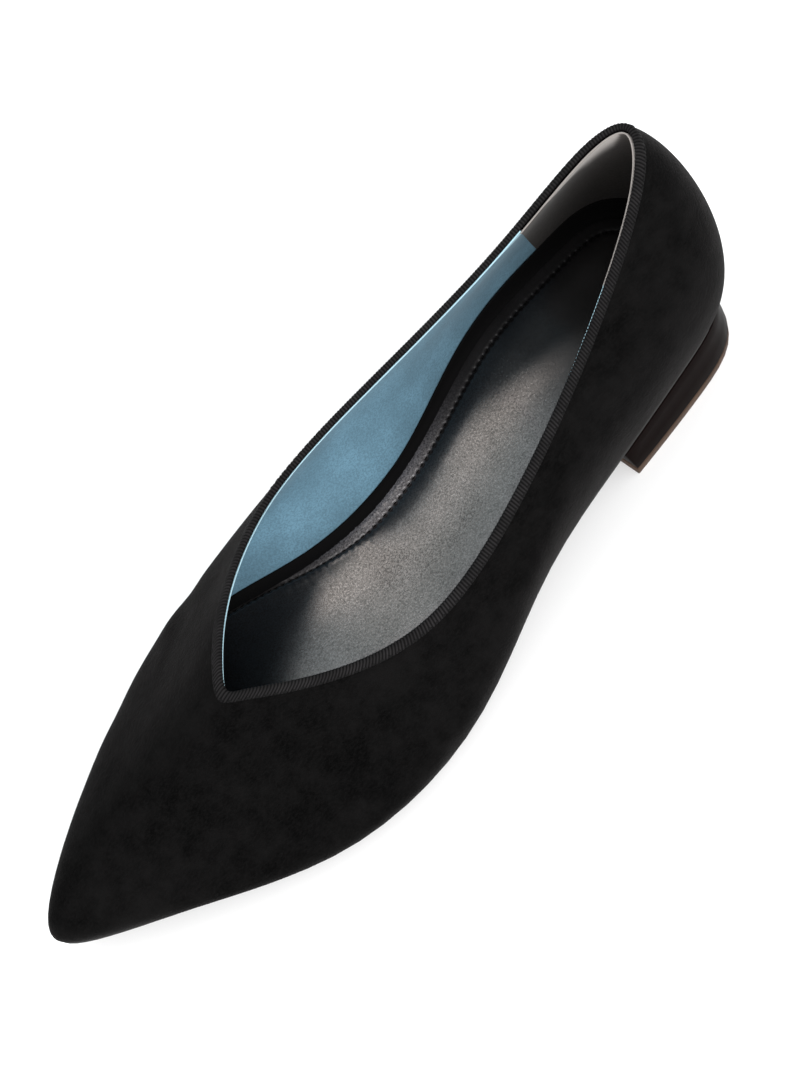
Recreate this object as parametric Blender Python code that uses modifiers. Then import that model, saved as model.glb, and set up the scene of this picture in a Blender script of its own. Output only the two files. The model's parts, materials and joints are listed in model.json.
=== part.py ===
"""Left ballet flat with a pointed toe, a deep V throat and a low block heel.

+X runs from heel to toe, +Y to the wearer's left (the outer side), +Z up.
The origin is on the floor, under the middle of the shoe. Sizes are in
millimetres and are scaled to metres where the meshes are made.
"""

import math

import bmesh
import bpy
import numpy as np

MM = 0.001
TURN = 2.0 * math.pi

# Driving dimensions
SOLE_LENGTH = 265.0
BALL_WIDTH = 83.0
BACK_HEIGHT = 91.0
SEAT_HEIGHT = 25.0
TOE_SPRING = 8.2
THROAT_REACH = 187.5
COLLAR_SETBACK = 9.5
WALL = 2.0
SOLE_THICKNESS = 3.0
LIFT_THICKNESS = 3.0
INSOLE_INSET = 2.6
INSOLE_TOE_INSET = 2.5
INSOLE_TOE_START = 0.90
INSOLE_EDGE = 5.0
INSOLE_FULL_HALF = 10.0
SOLE_INSET = 0.8
HEEL_INSET = 0.7
BINDING_WIDTH = 3.0
BREAST_TOP = 61.0
BREAST_FOOT = 57.5
HEEL_FOOT_BACK = -2.0
HEEL_FOOT_WIDTH = 1.02
HEEL_WAIST = 0.4
HEEL_WAIST_FRONT = 53.0
GAP = 0.3
HALF_GAP = GAP / 2.0

# Where the sole is flat on the floor, as shares of its length
ARCH_BACK = 0.03
FLAT_BACK = 0.60
FLAT_FRONT = 0.70
SPRING_POWER = 1.6

# How far the topline runs ahead of the feather line in the quarters
COLUMN_SKEW = 0.13

# Share of the length where the wall starts to face the throat, and where it does
VAMP_START = 0.45
VAMP_FULL = 0.80

# Mesh density, and how much closer the upper's rows stand near the sole
COLUMNS = 96
ROWS = 13
FOOT_CROWDING = 1.4
FINE_STEPS = 48
HEEL_COLUMNS = 32
HEEL_ROWS = 4
SIDE_STEPS = 6

# Steps for directions: in turns, in millimetres, and in columns of the wall
TURN_STEP = 0.01
SLOPE_STEP = 0.5
EDGE_REACH = 4

# Corners sharper than this, in degrees, stay crisp; points closer than this, in metres, join
SHARP_ANGLE = 40.0
MERGE = 0.00001


def table(names, *rows):
    """Rows under named columns, as one array for each column."""
    return dict(zip(names, np.array(rows, dtype=float).T))


# Feather line, where upper meets sole: half widths as shares of the ball width
FEATHER = table(
    ("along", "outer", "inner"),
    (0.000, 0.000, 0.000),
    (0.035, 0.263, 0.270),
    (0.120, 0.330, 0.330),
    (0.240, 0.352, 0.350),
    (0.380, 0.388, 0.290),
    (0.520, 0.500, 0.340),
    (0.640, 0.526, 0.474),
    (0.750, 0.446, 0.448),
    (0.860, 0.257, 0.298),
    (0.950, 0.090, 0.166),
    (1.000, -0.052, 0.052),
)

# Topline from the back (0) to the point of the V (1): half widths as shares of
# the ball width, heights as shares of the back height
TOPLINE = table(
    ("along", "outer", "inner", "outer_height", "inner_height"),
    (0.000, -0.025, 0.025, 1.000, 1.000),
    (0.060, 0.105, 0.124, 0.955, 0.948),
    (0.250, 0.216, 0.224, 0.735, 0.750),
    (0.500, 0.316, 0.332, 0.545, 0.597),
    (0.720, 0.318, 0.364, 0.416, 0.523),
    (0.900, 0.164, 0.225, 0.446, 0.503),
    (0.975, 0.052, 0.085, 0.488, 0.508),
    (1.000, -0.008, 0.008, 0.495, 0.495),
)

# Section of the wall: flare out at the feather line and lean at the topline in
# degrees, and how far each end's direction carries, as shares of the height
SECTION = table(
    ("along", "outer_flare", "inner_flare", "outer_lean", "inner_lean", "low_pull", "high_pull"),
    (0.00, 20.0, 20.0, 56.0, 56.0, 0.38, 0.31),
    (0.12, 18.0, 18.0, 48.0, 64.0, 0.39, 0.36),
    (0.35, 18.0, 16.0, 42.0, 64.0, 0.40, 0.40),
    (0.60, 24.0, 19.0, 51.0, 56.0, 0.32, 0.52),
    (0.85, 30.0, 27.0, 37.0, 34.0, 0.31, 0.72),
    (1.00, 19.0, 19.0, 26.0, 26.0, 0.17, 0.47),
)

# Top of the insole: distance in from its edge and height over the feather line
INSOLE_PROFILE = table(
    ("inside", "height"),
    (0.0, INSOLE_EDGE),
    (1.2, 6.0),
    (2.6, 5.2),
    (3.4, 4.3),
    (9.0, 4.4),
    (30.0, 3.8),
)

# Section of the binding: drop below the topline and distance out of the wall's face
BINDING_PROFILE = table(
    ("drop", "out"),
    (1.00, 0.35),
    (0.45, 0.55),
    (0.10, 0.35),
    (-0.08, -0.30),
    (-0.08, -1.70),
    (0.10, -2.35),
    (0.45, -2.55),
    (1.00, -2.35),
)

COLOURS = {
    "upper": ((0.012, 0.011, 0.011), 0.95),
    "topline_binding": ((0.016, 0.015, 0.015), 0.80),
    "insole": ((0.014, 0.012, 0.013), 0.35),
    "outsole": ((0.010, 0.010, 0.010), 0.60),
    "heel": ((0.010, 0.008, 0.008), 0.22),
    "top_lift": ((0.018, 0.015, 0.013), 0.55),
}


def closed_spline(knots, values, at):
    """Cubic through the knots of a closed turn, smooth in slope and curvature."""
    size = len(knots)
    ends = np.append(knots, knots[0] + TURN)
    heights = np.append(values, values[0])
    spans = np.diff(ends)
    rates = np.diff(heights) / spans
    system = np.zeros((size, size))
    target = np.zeros(size)
    for row in range(size):
        before, after = spans[row - 1], spans[row]
        system[row, row] = 2.0 * (before + after)
        system[row, row - 1] += after
        system[row, (row + 1) % size] += before
        target[row] = 3.0 * (after * rates[row - 1] + before * rates[row])
    slopes = np.linalg.solve(system, target)
    slopes = np.append(slopes, slopes[0])
    span = np.clip(np.searchsorted(ends, at, side="right") - 1, 0, size - 1)
    t = (at - ends[span]) / spans[span]
    rise = heights[span] * (1 + 2 * t) * (1 - t) ** 2 + heights[span + 1] * t * t * (3 - 2 * t)
    turn = slopes[span] * t * (1 - t) ** 2 - slopes[span + 1] * t * t * (1 - t)
    return rise + turn * spans[span]


def around(rows, outer, inner, turn):
    """A quantity round the shoe: heel at 0, outer side, toe at pi, inner side."""
    half = np.arccos(1.0 - 2.0 * rows["along"])
    knots = np.concatenate((half, TURN - half[-2:0:-1]))
    values = np.concatenate((outer, inner[-2:0:-1]))
    return closed_spline(knots, values, np.mod(turn, TURN))


def share_along(turn):
    """Share of the length at a turn round the shoe; ends come out round."""
    return (1.0 - np.cos(turn)) / 2.0


def unit(vectors):
    return vectors / np.linalg.norm(vectors, axis=-1, keepdims=True)


def ease(share):
    """Smooth step from 0 to 1."""
    t = np.clip(share, 0.0, 1.0)
    return t * t * (3.0 - 2.0 * t)


def feather_height(x):
    """Height of the feather line: heel seat, arch, flat forefoot and toe spring."""
    share = x / SOLE_LENGTH
    ball = SOLE_THICKNESS + HALF_GAP
    seat = (SEAT_HEIGHT - ball) * ease((FLAT_BACK - share) / (FLAT_BACK - ARCH_BACK))
    spring = np.clip((share - FLAT_FRONT) / (1.0 - FLAT_FRONT), 0.0, 1.0)
    return ball + seat + TOE_SPRING * spring**SPRING_POWER


def feather_plan(turn):
    """Feather line seen from above."""
    x = SOLE_LENGTH * share_along(turn)
    y = BALL_WIDTH * around(FEATHER, FEATHER["outer"], -FEATHER["inner"], turn)
    return np.stack((x, y), axis=-1)


def feather_outward(turn):
    """Direction out of the feather line, seen from above."""
    run = feather_plan(turn + TURN_STEP) - feather_plan(turn - TURN_STEP)
    return unit(np.stack((-run[..., 1], run[..., 0]), axis=-1))


def inset_plan(turn, inset):
    return feather_plan(turn) - inset * feather_outward(turn)


def topline(turn):
    """Top edge of the upper, ahead of the feather line in the quarters."""
    share = share_along(turn)
    ahead = np.clip(share + COLUMN_SKEW * np.sin(math.pi * share) ** 2, 0.0, 1.0)
    half = np.arccos(1.0 - 2.0 * ahead)
    own = np.where(np.mod(turn, TURN) <= math.pi, half, TURN - half)
    x = COLLAR_SETBACK + (THROAT_REACH - COLLAR_SETBACK) * ahead
    y = BALL_WIDTH * around(TOPLINE, TOPLINE["outer"], -TOPLINE["inner"], own)
    z = BACK_HEIGHT * around(TOPLINE, TOPLINE["outer_height"], TOPLINE["inner_height"], own)
    return np.stack((x, y, z), axis=-1)


def wall_columns(turn):
    """Outer face of the upper: one fine curve from feather line to topline for each turn."""
    plan = feather_plan(turn)
    foot = np.column_stack((plan, feather_height(plan[:, 0])))
    top = topline(turn)
    height = np.linalg.norm(top - foot, axis=1)[:, None]
    flare = np.radians(around(SECTION, SECTION["outer_flare"], SECTION["inner_flare"], turn))[:, None]
    lean = np.radians(around(SECTION, SECTION["outer_lean"], SECTION["inner_lean"], turn))[:, None]
    low = around(SECTION, SECTION["low_pull"], SECTION["low_pull"], turn)[:, None] * height
    high = around(SECTION, SECTION["high_pull"], SECTION["high_pull"], turn)[:, None] * height
    outward = feather_outward(turn)
    vamp = ease((share_along(turn) - VAMP_START) / (VAMP_FULL - VAMP_START))[:, None]
    heading = unit(unit((foot - top)[:, :2]) * vamp + outward * (1.0 - vamp))
    low_point = foot + low * np.hstack((outward * np.sin(flare), np.cos(flare)))
    high_point = top + high * np.hstack((heading * np.cos(lean), -np.sin(lean)))
    t = np.linspace(0.0, 1.0, FINE_STEPS + 1)[None, :, None]
    low_part = (1 - t) ** 3 * foot[:, None] + 3 * (1 - t) ** 2 * t * low_point[:, None]
    high_part = 3 * (1 - t) * t**2 * high_point[:, None] + t**3 * top[:, None]
    return low_part + high_part


def arc_lengths(columns):
    steps = np.linalg.norm(np.diff(columns, axis=1), axis=2)
    return np.concatenate((np.zeros((len(columns), 1)), np.cumsum(steps, axis=1)), axis=1)


def along_columns(field, lengths):
    """Values of a field on the wall's columns at arc lengths from the feather line."""
    arcs = arc_lengths(WALL_COLUMNS)
    found = np.empty(lengths.shape + (3,))
    for index, column in enumerate(field):
        for axis in range(3):
            found[index, :, axis] = np.interp(lengths[index], arcs[index], column[:, axis])
    return found


def outward_normals(columns):
    """Direction out of the wall at every point of the columns."""
    across = np.roll(columns, -1, axis=0) - np.roll(columns, 1, axis=0)
    up = np.gradient(columns, axis=1)
    return unit(np.cross(up, across))


def edge_stretch(columns):
    """Length along a column for each unit measured square to the topline."""
    top = columns[:, -1]
    lead = unit(top - columns[:, -3])
    edge = unit(np.roll(top, -1, axis=0) - np.roll(top, 1, axis=0))
    sine = np.linalg.norm(np.cross(lead, edge), axis=1)
    shifts = range(-EDGE_REACH, EDGE_REACH + 1)
    lowest = np.min([np.roll(sine, shift) for shift in shifts], axis=0)
    return 1.0 / np.mean([np.roll(lowest, shift) for shift in shifts], axis=0)


TURNS = np.linspace(0.0, TURN, COLUMNS, endpoint=False)
WALL_COLUMNS = wall_columns(TURNS)
STRETCH = edge_stretch(WALL_COLUMNS)
FULL_ARC = arc_lengths(WALL_COLUMNS)[:, -1]
BOX_MIDDLE = (WALL_COLUMNS.min(axis=(0, 1)) + WALL_COLUMNS.max(axis=(0, 1))) / 2.0


def to_frame(points):
    """Millimetres from the heel to metres from the middle of the shoe."""
    moved = np.array(points, dtype=float)
    moved[..., :2] -= BOX_MIDDLE[:2]
    return moved * MM


def principled(name):
    colour, roughness = COLOURS[name]
    material = bpy.data.materials.new(name)
    material.use_nodes = True
    shader = material.node_tree.nodes["Principled BSDF"]
    shader.inputs["Base Color"].default_value = (*colour, 1.0)
    shader.inputs["Roughness"].default_value = roughness
    shader.inputs["Metallic"].default_value = 0.0
    return material


def loft(name, sections, collection, round_across=False, round_along=False, capped=False):
    """Object whose faces join each section of points to the next one."""
    mesh = bpy.data.meshes.new(name)
    shape = bmesh.new()
    rows = [[shape.verts.new(point) for point in section] for section in to_frame(sections)]
    count = len(rows[0])
    spans = len(rows) if round_along else len(rows) - 1
    steps = count if round_across else count - 1
    for row in range(spans):
        here, there = rows[row], rows[(row + 1) % len(rows)]
        for step in range(steps):
            beside = (step + 1) % count
            shape.faces.new((here[step], here[beside], there[beside], there[step]))
    if capped:
        shape.faces.new(rows[0])
        shape.faces.new(rows[-1])
    bmesh.ops.remove_doubles(shape, verts=shape.verts, dist=MERGE)
    if round_across:
        bmesh.ops.recalc_face_normals(shape, faces=shape.faces)
    shape.to_mesh(mesh)
    shape.free()
    mesh.materials.append(principled(name))
    mesh.shade_smooth()
    mesh.set_sharp_from_angle(angle=math.radians(SHARP_ANGLE))
    part = bpy.data.objects.new(name, mesh)
    collection.objects.link(part)
    return part


def solidify(part, thickness, offset):
    shell = part.modifiers.new("wall", "SOLIDIFY")
    shell.thickness = thickness * MM
    shell.offset = offset
    shell.use_even_offset = True


def make_upper(collection):
    """One wall from the feather line to the binding, open at collar and sole."""
    reach = FULL_ARC - (BINDING_WIDTH + GAP) * STRETCH
    lengths = reach[:, None] * np.linspace(0.0, 1.0, ROWS)[None, :] ** FOOT_CROWDING
    sections = along_columns(WALL_COLUMNS, lengths)
    upper = loft("upper", sections, collection, round_along=True)
    solidify(upper, WALL, -1.0)


def make_binding(collection):
    """Ribbon round the top edge, a little prouder than the wall on both faces."""
    lead = unit(WALL_COLUMNS[:, -1] - WALL_COLUMNS[:, -2])
    drops = BINDING_PROFILE["drop"][None, :] * BINDING_WIDTH * STRETCH[:, None]
    lengths = FULL_ARC[:, None] - np.maximum(drops, 0.0)
    normals = along_columns(outward_normals(WALL_COLUMNS), lengths)
    sections = along_columns(WALL_COLUMNS, lengths)
    sections += lead[:, None] * np.maximum(-drops, 0.0)[:, :, None]
    sections += normals * BINDING_PROFILE["out"][None, :, None]
    loft("topline_binding", sections, collection, round_across=True, round_along=True)


def station_pairs(inset, toe_inset=0.0):
    """Outer and inner edge points of each station from heel to toe."""
    half = TURNS[: COLUMNS // 2 + 1]
    toe = ease((share_along(half) - INSOLE_TOE_START) / (1.0 - INSOLE_TOE_START))
    total = (inset + toe_inset * toe)[:, None]
    return inset_plan(half, total), inset_plan(TURN - half, total)


def make_insole(collection):
    """Padded sock with a raised rim, from wall to wall inside the upper."""
    outer, inner = station_pairs(INSOLE_INSET, INSOLE_TOE_INSET)
    sections = []
    for left, right in zip(outer, inner):
        half = np.linalg.norm(left - right) / 2.0
        inside = 0.5 * INSOLE_PROFILE["inside"] / (INSOLE_PROFILE["inside"] + half + GAP)
        shares = np.concatenate((inside, 1.0 - inside[::-1]))
        plan = left[None] + (right - left)[None] * shares[:, None]
        relief = (INSOLE_PROFILE["height"] - INSOLE_EDGE) * ease(half / INSOLE_FULL_HALF)
        base = feather_height(plan[:, 0]) + HALF_GAP
        top = base + INSOLE_EDGE + np.concatenate((relief, relief[::-1]))
        upper_line = np.column_stack((plan, top))
        lower_line = np.column_stack((plan, base))
        sections.append(np.concatenate((upper_line, lower_line[::-1])))
    loft("insole", sections, collection, round_across=True)


def make_outsole(collection):
    """Thin sole with toe spring, flat forefoot, arch and heel seat."""
    outer, inner = station_pairs(SOLE_INSET)
    shares = np.linspace(0.0, 1.0, SIDE_STEPS)[None, :, None]
    plan = outer[:, None] + (inner - outer)[:, None] * shares
    sections = np.concatenate((plan, feather_height(plan[..., :1]) - HALF_GAP), axis=2)
    outsole = loft("outsole", sections, collection)
    solidify(outsole, SOLE_THICKNESS, -1.0)


def under_sole(plan, depth):
    """Points a depth square below the top face of the sole."""
    x = plan[..., 0]
    rise = feather_height(x + SLOPE_STEP) - feather_height(x - SLOPE_STEP)
    slope = rise / (2.0 * SLOPE_STEP)
    scale = depth / np.sqrt(1.0 + slope**2)
    height = feather_height(x) - HALF_GAP - scale
    return np.stack((x + slope * scale, plan[..., 1], height), axis=-1)


def heel_edges():
    """Turns round the back of the heel, with its top and foot outlines."""
    reach = np.arccos(1.0 - 2.0 * BREAST_TOP / SOLE_LENGTH)
    turns = np.linspace(-reach, reach, HEEL_COLUMNS)
    seat = inset_plan(turns, HEEL_INSET)
    scale = (BREAST_FOOT - HEEL_FOOT_BACK) / (seat[:, 0].max() - seat[:, 0].min())
    foot = seat.copy()
    foot[:, 0] = BREAST_FOOT - (seat[:, 0].max() - seat[:, 0]) * scale
    foot[:, 1] *= HEEL_FOOT_WIDTH
    return seat, foot


def strips(edge):
    """Outline points paired across the heel, from its back to its breast."""
    middle = len(edge) // 2
    return edge[:middle][::-1], edge[-middle:]


def make_heel(collection):
    """Block with a flat breast, hollowed a little between seat and foot."""
    seat, foot = heel_edges()
    top = under_sole(seat, SOLE_THICKNESS + GAP)
    base = np.column_stack((foot, np.full(len(foot), LIFT_THICKNESS + GAP)))
    share = np.linspace(0.0, 1.0, HEEL_ROWS)[:, None, None]
    rows = base[None] + (top - base)[None] * share
    centre = np.array((BREAST_FOOT, 0.0, 0.0))
    inward = unit((centre - rows) * np.array((1.0, 1.0, 0.0)))
    rows += inward * HEEL_WAIST * np.sin(math.pi * share) * (rows[..., :1] < HEEL_WAIST_FRONT)
    right, left = strips(np.moveaxis(rows, 0, 1))
    sections = [np.concatenate((one, two[::-1])) for one, two in zip(left, right)]
    loft("heel", sections, collection, round_across=True, capped=True)


def make_top_lift(collection):
    """Wear layer under the heel, flat on the floor."""
    _, foot = heel_edges()
    rows = np.stack(
        [np.column_stack((foot, np.full(len(foot), height))) for height in (0.0, LIFT_THICKNESS)],
        axis=1,
    )
    right, left = strips(rows)
    sections = [np.concatenate((one, two[::-1])) for one, two in zip(left, right)]
    loft("top_lift", sections, collection, round_across=True, capped=True)


def main():
    for item in list(bpy.data.objects):
        bpy.data.objects.remove(item, do_unlink=True)
    collection = bpy.data.collections.new("ballet_flat")
    bpy.context.scene.collection.children.link(collection)
    make_upper(collection)
    make_binding(collection)
    make_insole(collection)
    make_outsole(collection)
    make_heel(collection)
    make_top_lift(collection)


main()
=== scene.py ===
"""Dresses a packed left ballet flat: suede, ribbed binding, linings, sock, stitches and sole.

The shoe stands on the floor with +X from heel to toe, +Y to the wearer's left and +Z up.
Shapes are worked out in millimetres from the back of the heel and laid in metres.
"""

import json
import math

import bpy
import numpy as np
from mathutils import Matrix, Vector

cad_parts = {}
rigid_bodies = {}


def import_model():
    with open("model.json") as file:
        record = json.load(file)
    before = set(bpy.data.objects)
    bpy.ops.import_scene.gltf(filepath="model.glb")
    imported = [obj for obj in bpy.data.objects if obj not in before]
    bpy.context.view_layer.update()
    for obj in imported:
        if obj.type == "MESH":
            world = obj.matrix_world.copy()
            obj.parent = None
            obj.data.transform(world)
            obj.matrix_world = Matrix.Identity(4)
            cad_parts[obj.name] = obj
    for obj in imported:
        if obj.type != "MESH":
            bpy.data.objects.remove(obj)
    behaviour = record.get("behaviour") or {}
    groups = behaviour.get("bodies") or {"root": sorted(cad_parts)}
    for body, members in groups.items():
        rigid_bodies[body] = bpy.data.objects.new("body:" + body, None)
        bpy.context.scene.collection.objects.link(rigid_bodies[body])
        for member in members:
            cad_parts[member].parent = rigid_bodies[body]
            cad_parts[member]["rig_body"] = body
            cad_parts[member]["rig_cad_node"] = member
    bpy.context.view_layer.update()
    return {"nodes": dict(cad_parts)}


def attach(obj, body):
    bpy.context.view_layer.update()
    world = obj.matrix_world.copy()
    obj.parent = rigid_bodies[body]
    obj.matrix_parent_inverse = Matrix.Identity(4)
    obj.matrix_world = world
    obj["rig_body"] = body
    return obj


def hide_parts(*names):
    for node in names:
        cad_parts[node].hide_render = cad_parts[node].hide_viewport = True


bl_info = {
    "name": "Ballet flat",
    "version": (1, 0, 0),
    "blender": (4, 5, 0),
    "location": "3D view > Sidebar > Ballet flat",
    "description": "Makes the visible pieces of a pointed ballet flat over its packed solids",
    "category": "Object",
}

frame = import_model()

MM = 0.001
TURN = 2.0 * math.pi
UPRIGHT = (0.0, 0.0, 1.0)

# Points this close, in metres, are merged, and faces this level, in degrees, are joined
MERGE = 0.000004
FLAT_ANGLE = 0.4

# Sizes of the last, in millimetres
SOLE_LENGTH = 265.0
BALL_WIDTH = 83.0
BACK_HEIGHT = 91.0
SEAT_HEIGHT = 25.0
TOE_SPRING = 8.2
THROAT_REACH = 187.5
COLLAR_SETBACK = 9.5
WALL = 2.0
SOLE_TOP = 3.15

# Arch, flat forefoot and toe spring of the sole, as shares of its length
ARCH_BACK = 0.03
FLAT_BACK = 0.60
FLAT_FRONT = 0.70
SPRING_POWER = 1.6
COLUMN_SKEW = 0.13
VAMP_START = 0.45
VAMP_FULL = 0.80

# Sampling of the wall and of the lines round it
BASE_COLUMNS = 96
FINE_STEPS = 48
EDGE_REACH = 4
TURN_STEP = 0.01
LINE_SAMPLES = 4001


def table(names, *rows):
    """Rows under named columns, as one array for each column."""
    return dict(zip(names, np.array(rows, dtype=float).T))


# Feather line, where upper meets sole: half widths as shares of the ball width
FEATHER = table(
    ("along", "outer", "inner"),
    (0.000, 0.000, 0.000),
    (0.035, 0.263, 0.270),
    (0.120, 0.330, 0.330),
    (0.240, 0.352, 0.350),
    (0.380, 0.388, 0.290),
    (0.520, 0.500, 0.340),
    (0.640, 0.526, 0.474),
    (0.750, 0.446, 0.448),
    (0.860, 0.257, 0.298),
    (0.950, 0.090, 0.166),
    (1.000, -0.052, 0.052),
)

# Topline from the back (0) to the point of the V (1), widths and heights as shares
TOPLINE = table(
    ("along", "outer", "inner", "outer_height", "inner_height"),
    (0.000, -0.025, 0.025, 1.000, 1.000),
    (0.060, 0.105, 0.124, 0.955, 0.948),
    (0.250, 0.216, 0.224, 0.735, 0.750),
    (0.500, 0.316, 0.332, 0.545, 0.597),
    (0.720, 0.318, 0.364, 0.416, 0.523),
    (0.900, 0.164, 0.225, 0.446, 0.503),
    (0.975, 0.052, 0.085, 0.488, 0.508),
    (1.000, -0.008, 0.008, 0.495, 0.495),
)

# Section of the wall: flare at the feather line, lean at the topline, and their pulls
SECTION = table(
    ("along", "outer_flare", "inner_flare", "outer_lean", "inner_lean", "low_pull", "high_pull"),
    (0.00, 20.0, 20.0, 56.0, 56.0, 0.38, 0.31),
    (0.12, 18.0, 18.0, 48.0, 64.0, 0.39, 0.36),
    (0.35, 18.0, 16.0, 42.0, 64.0, 0.40, 0.40),
    (0.60, 24.0, 19.0, 51.0, 56.0, 0.32, 0.52),
    (0.85, 30.0, 27.0, 37.0, 34.0, 0.31, 0.72),
    (1.00, 19.0, 19.0, 26.0, 26.0, 0.17, 0.47),
)

# How the suede rolls under at the feather line: arc length up the wall and distance in
LOWER_ROLL = table(("arc", "inward"), (0.0, 0.90), (0.4, 0.35), (1.0, 0.08), (2.0, 0.0))

# Soft troughs (depth above 0) and ridges (below 0) in the suede. side is 1 on the outer
# wall and -1 on the inner one; x runs from the heel and h up the wall, in millimetres
CREASES = table(
    ("side", "x_low", "h_low", "x_high", "h_high", "width", "depth"),
    (1, 158.0, 8.0, 176.0, 34.0, 5.0, 0.40),
    (1, 170.0, 6.0, 190.0, 30.0, 4.5, -0.25),
    (1, 138.0, 10.0, 148.0, 34.0, 6.0, 0.30),
    (1, 62.0, 8.0, 72.0, 40.0, 8.0, 0.35),
    (1, 80.0, 30.0, 112.0, 24.0, 6.0, -0.25),
    (-1, 160.0, 8.0, 178.0, 36.0, 5.0, 0.40),
    (-1, 172.0, 8.0, 190.0, 34.0, 4.5, -0.25),
    (-1, 104.0, 8.0, 120.0, 30.0, 7.0, 0.35),
    (-1, 62.0, 8.0, 70.0, 40.0, 8.0, 0.35),
    (1, 206.0, 14.0, 222.0, 52.0, 7.0, 0.30),
    (-1, 208.0, 14.0, 222.0, 50.0, 7.0, 0.30),
)

# Section of the binding: drop below the topline, distance out of the wall, share of rib, which also sets
# where the painted crest highlight and valley shade lie
RIBBON = table(
    ("drop", "out", "rib"),
    (2.45, 0.02, 0.0),
    (2.38, 0.14, 0.6),
    (2.05, 0.25, 0.9),
    (1.50, 0.32, 1.0),
    (0.90, 0.33, 1.0),
    (0.42, 0.27, 1.0),
    (0.06, 0.06, 1.0),
    (-0.18, -0.30, 1.0),
    (-0.28, -0.75, 1.0),
    (-0.20, -1.20, 1.0),
    (0.05, -1.50, 0.8),
    (0.40, -1.60, 0.3),
    (1.10, -1.60, 0.0),
    (2.00, -1.55, 0.0),
    (2.40, -1.45, 0.0),
    (2.45, -0.80, 0.0),
)

# Inner face of the wall and back of the lining: drop below the topline, distance in
WALL_SKIVE = table(("drop", "inward"), (0.0, 1.45), (2.6, 1.45), (12.0, 2.0))
LINING = table(("drop", "inward"), (0.0, 1.66), (3.2, 1.66), (7.0, 1.92), (12.0, 2.06))

# Pale top of the linings along the shoe: its width, and how far the top edge lies below the
# topline on the outer and the inner side
# Near the back (x from 6 to about 30 mm) the wide pale band is a painted pool of light, not a fold
FOLD_AND_PAINTED_LIGHT = table(
    ("x", "width", "outer_drop", "inner_drop"),
    (2.0, 1.6, 0.15, 0.15),
    (6.0, 17.0, 0.15, 0.15),
    (13.0, 24.0, 0.15, 0.15),
    (24.0, 14.0, 0.15, 0.15),
    (34.0, 1.4, 0.15, 0.15),
    (50.0, 1.2, 0.15, 0.15),
    (85.0, 0.9, 0.45, 0.45),
    (130.0, 0.9, 0.45, 0.45),
    (165.0, 1.6, 0.50, 0.26),
    (225.0, 1.6, 0.50, 0.26),
    (265.0, 1.6, 0.38, 0.38),
)

# Rim strip between lining and flange: crest against the lining as distance in and height
# over the rim line, then the cove as shares of the way in and of the drop to the flange
RIM_CREST = table(("inward", "rise"), (0.0, -3.0), (0.0, -0.15), (0.22, 0.08), (0.55, -0.05))
RIM_COVE = table(
    ("way", "drop"),
    (0.14, 0.38),
    (0.32, 0.66),
    (0.54, 0.85),
    (0.78, 0.95),
    (1.04, 1.00),
    (1.04, 1.30),
)

# Flange, stitched groove and pad: distance in from the feather line, height over it, shares
# of wrinkles, stitch pits and flange, then the height added in the heel cup and on the lip
# under the ball of the foot, and the depth of the hollow at the arch
SOCK = table(
    ("inset", "height", "wrinkle", "pit", "flange", "cup", "lip", "arch"),
    (2.6, 3.60, 0.0, 0.0, 1.0, 2.2, 0.8, 0.0),
    (2.8, 4.84, 0.3, 0.0, 1.0, 2.3, 0.9, 0.0),
    (3.4, 5.12, 0.8, 0.0, 1.0, 2.2, 1.0, 0.0),
    (4.6, 5.02, 1.0, 0.0, 1.0, 2.1, 1.0, 0.0),
    (5.8, 4.88, 1.0, 0.0, 1.0, 2.0, 1.0, 0.0),
    (6.5, 4.70, 0.8, 0.0, 0.9, 2.0, 1.0, 0.0),
    (6.8, 4.50, 0.4, 1.0, 0.6, 1.9, 1.1, 0.0),
    (7.1, 4.56, 0.4, 1.0, 0.3, 1.9, 1.5, 0.05),
    (7.5, 4.76, 0.4, 0.25, 0.1, 1.8, 1.42, 0.2),
    (8.2, 4.96, 0.4, 0.0, 0.0, 1.7, 1.12, 0.3),
    (9.4, 5.08, 0.3, 0.0, 0.0, 1.5, 0.78, 0.32),
    (11.0, 5.11, 0.2, 0.0, 0.0, 1.3, 0.45, 0.27),
)

# Pad of the sock: share of the way from its edge to the middle line, height, lip and arch
SOCK_FILL = table(
    ("share", "height", "lip", "arch"),
    (0.12, 5.02, 0.25, 0.14),
    (0.28, 4.82, 0.08, 0.03),
    (0.46, 4.63, 0.0, 0.0),
    (0.64, 4.50, 0.0, 0.0),
    (0.82, 4.42, 0.0, 0.0),
    (1.00, 4.40, 0.0, 0.0),
)

# Ripples of the sock's edge: pitch, phase and depth, in millimetres along the edge
SOCK_RIPPLES = table(
    ("pitch", "phase", "depth"),
    (1.9, 0.3, 0.030),
    (3.1, 1.7, 0.040),
    (5.3, 4.1, 0.045),
)


def closed_spline(knots, values, at):
    """Cubic through the knots of a closed turn, smooth in slope and curvature."""
    size = len(knots)
    ends = np.append(knots, knots[0] + TURN)
    heights = np.append(values, values[0])
    spans = np.diff(ends)
    rates = np.diff(heights) / spans
    system = np.zeros((size, size))
    target = np.zeros(size)
    for row in range(size):
        before, after = spans[row - 1], spans[row]
        system[row, row] = 2.0 * (before + after)
        system[row, row - 1] += after
        system[row, (row + 1) % size] += before
        target[row] = 3.0 * (after * rates[row - 1] + before * rates[row])
    slopes = np.linalg.solve(system, target)
    slopes = np.append(slopes, slopes[0])
    span = np.clip(np.searchsorted(ends, at, side="right") - 1, 0, size - 1)
    t = (at - ends[span]) / spans[span]
    rise = heights[span] * (1 + 2 * t) * (1 - t) ** 2 + heights[span + 1] * t * t * (3 - 2 * t)
    turn = slopes[span] * t * (1 - t) ** 2 - slopes[span + 1] * t * t * (1 - t)
    return rise + turn * spans[span]


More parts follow.
